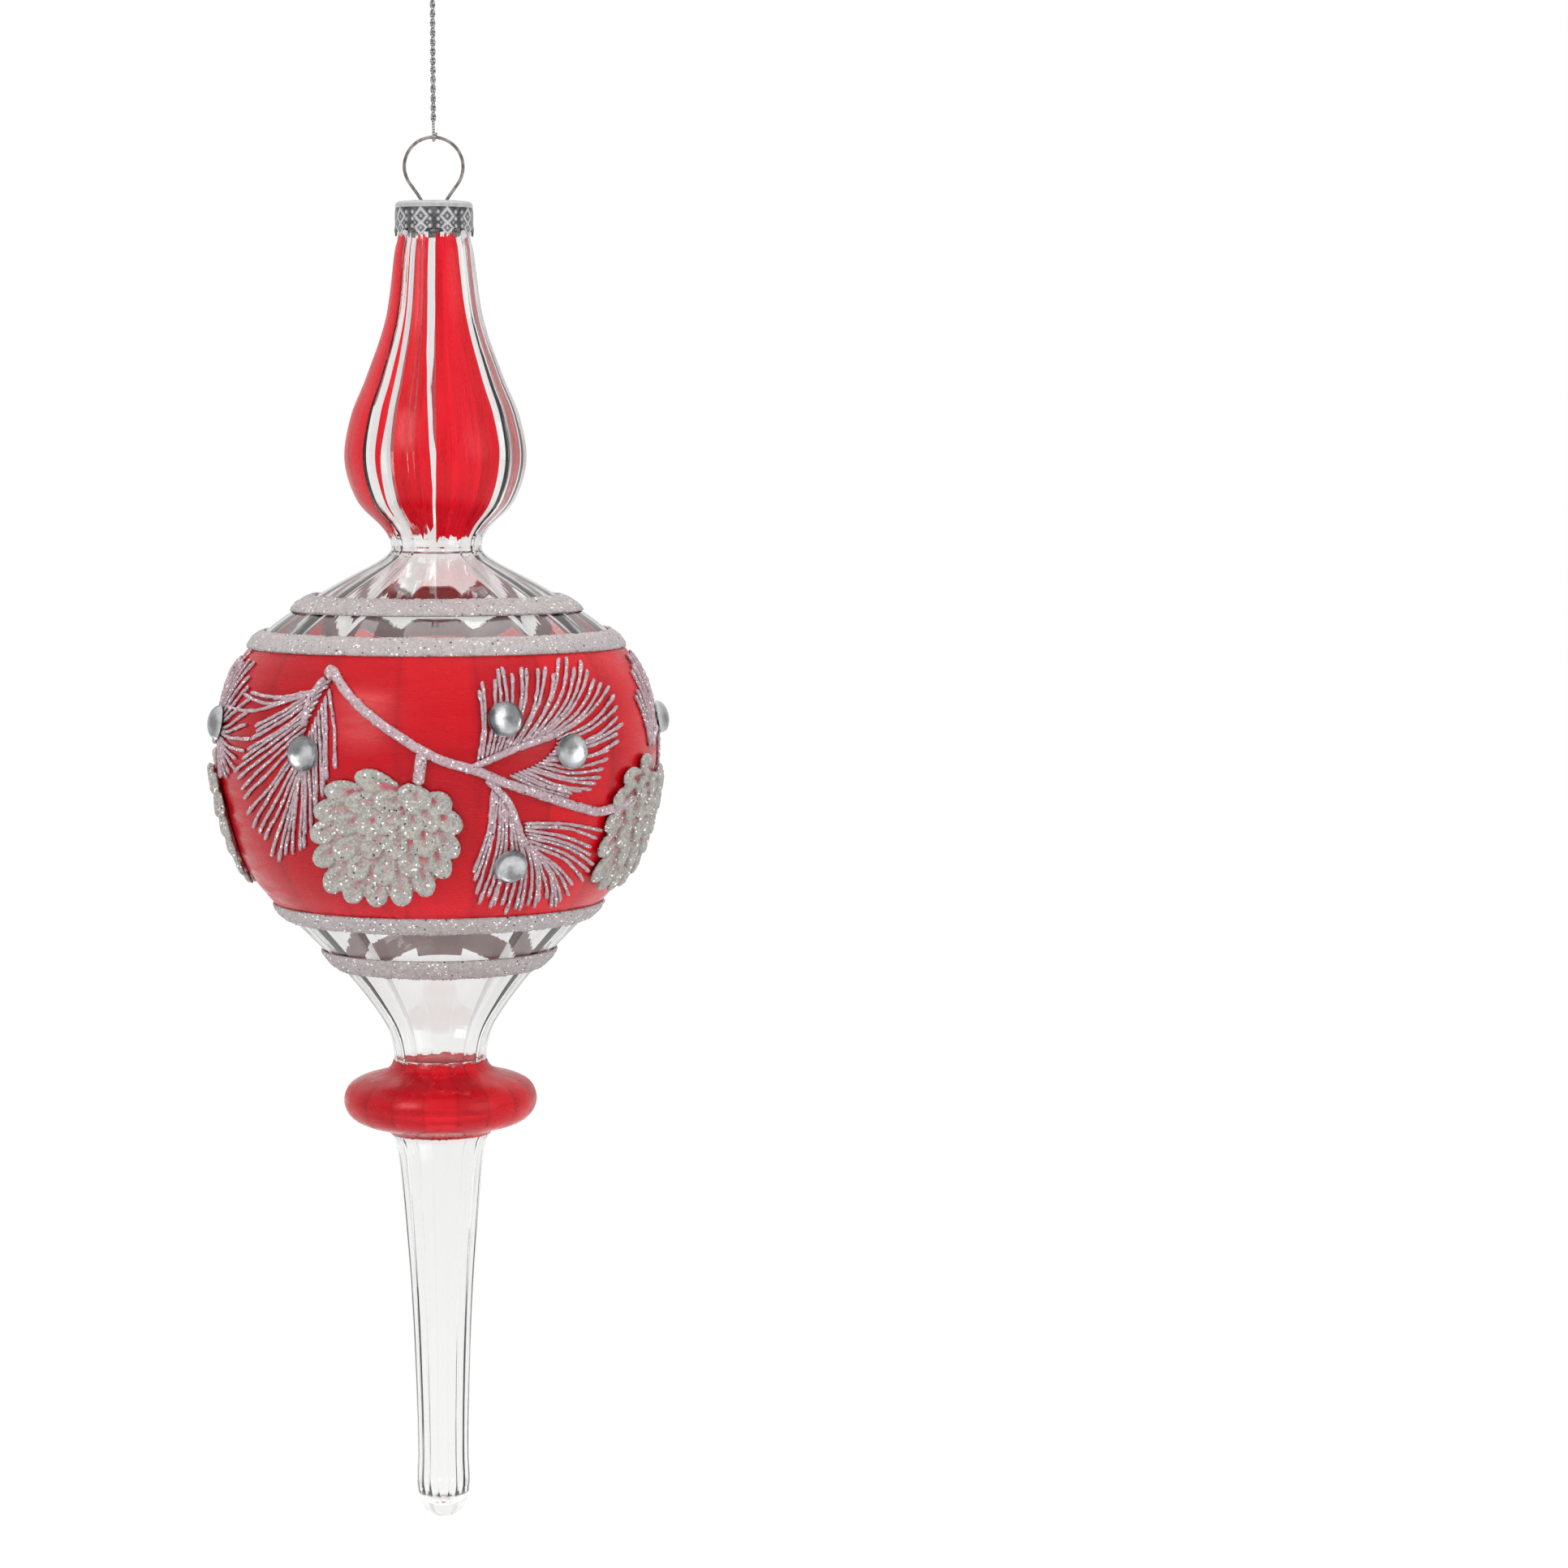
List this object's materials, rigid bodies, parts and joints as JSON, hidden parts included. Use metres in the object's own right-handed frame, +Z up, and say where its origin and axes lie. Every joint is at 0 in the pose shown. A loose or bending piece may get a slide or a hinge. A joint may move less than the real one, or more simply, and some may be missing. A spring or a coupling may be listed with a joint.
{
  "type": "icicle hanging ornament",
  "caption": "Blown, fluted glass icicle drop with a lacquered globe, glitter pine sprays and glass gems, hung from a crown cap, wire hanger and cord.",
  "frame": {"origin": "the hanging point, at the inside of the cord eye's top, where a hook or twig carries it", "axes": "+Z up along the drop, the decorated front faces -Y, +X to the right of the front"},
  "size_m": [0.0805, 0.0803, 0.2835],
  "materials": {
    "silver_thread": "twisted metallic silver thread",
    "steel_wire": "drawn steel wire, slightly dull",
    "pressed_tin": "pressed silver sheet with dark hollows",
    "clear_glass": "clear blown glass, fluted inside",
    "red_lacquer": "translucent red lacquer with brush marks",
    "lilac_glitter": "lilac-grey glitter glue",
    "cone_glitter": "grey-beige glitter paste",
    "gem_glass": "clear half-round stone with a silvered back"
  },
  "bodies": {
    "cord_top": {"cord_eye": "silver_thread", "cord_knot": "silver_thread"},
    "cord": {"cord_run": "silver_thread"},
    "hanger": {"wire_hanger": "steel_wire"},
    "cap": {"crown_cap": "pressed_tin"},
    "glass": {"glass_body": "clear_glass", "bulb_stripe_1": "red_lacquer", "bulb_stripe_2": "red_lacquer", "bulb_stripe_3": "red_lacquer", "bulb_stripe_4": "red_lacquer", "bulb_stripe_5": "red_lacquer", "bulb_stripe_6": "red_lacquer", "globe_coat": "red_lacquer", "collar_coat": "red_lacquer", "glitter_band_1": "lilac_glitter", "glitter_band_2": "lilac_glitter", "glitter_band_3": "lilac_glitter", "glitter_band_4": "lilac_glitter", "gem_1": "gem_glass", "gem_2": "gem_glass", "gem_3": "gem_glass", "gem_4": "gem_glass", "gem_5": "gem_glass", "gem_6": "gem_glass", "gem_7": "gem_glass", "gem_8": "gem_glass", "gem_9": "gem_glass", "gem_10": "gem_glass", "pine_cone_1": "cone_glitter", "pine_cone_2": "cone_glitter", "pine_cone_3": "cone_glitter", "pine_cone_4": "cone_glitter", "pine_branch_1": "lilac_glitter", "left_stem_1": "lilac_glitter", "upper_twig_1": "lilac_glitter", "lower_twig_1": "lilac_glitter", "end_twig_1": "lilac_glitter", "pine_branch_2": "lilac_glitter", "left_stem_2": "lilac_glitter", "upper_twig_2": "lilac_glitter", "lower_twig_2": "lilac_glitter", "end_twig_2": "lilac_glitter"}
  },
  "joints": [
    {"name": "cord_turn", "type": "hinge", "parent": "cord_top", "child": "cord", "pos_m": [0, 0, -0.0099], "axis": [0, 0, 1], "range_deg": [-180, 180]},
    {"name": "ornament_swing", "type": "hinge", "parent": "cord", "child": "hanger", "pos_m": [0, 0, -0.04029], "axis": [1, 0, 0], "range_deg": [-60, 60]},
    {"name": "hanger_tilt", "type": "hinge", "parent": "hanger", "child": "cap", "pos_m": [0, 0, -0.05149], "axis": [1, 0, 0], "range_deg": [-6, 6]},
    {"name": "cap_pull_off", "type": "slide", "parent": "cap", "child": "glass", "axis": [0, 0, -1], "range_m": [0, 0.03]}
  ]
}
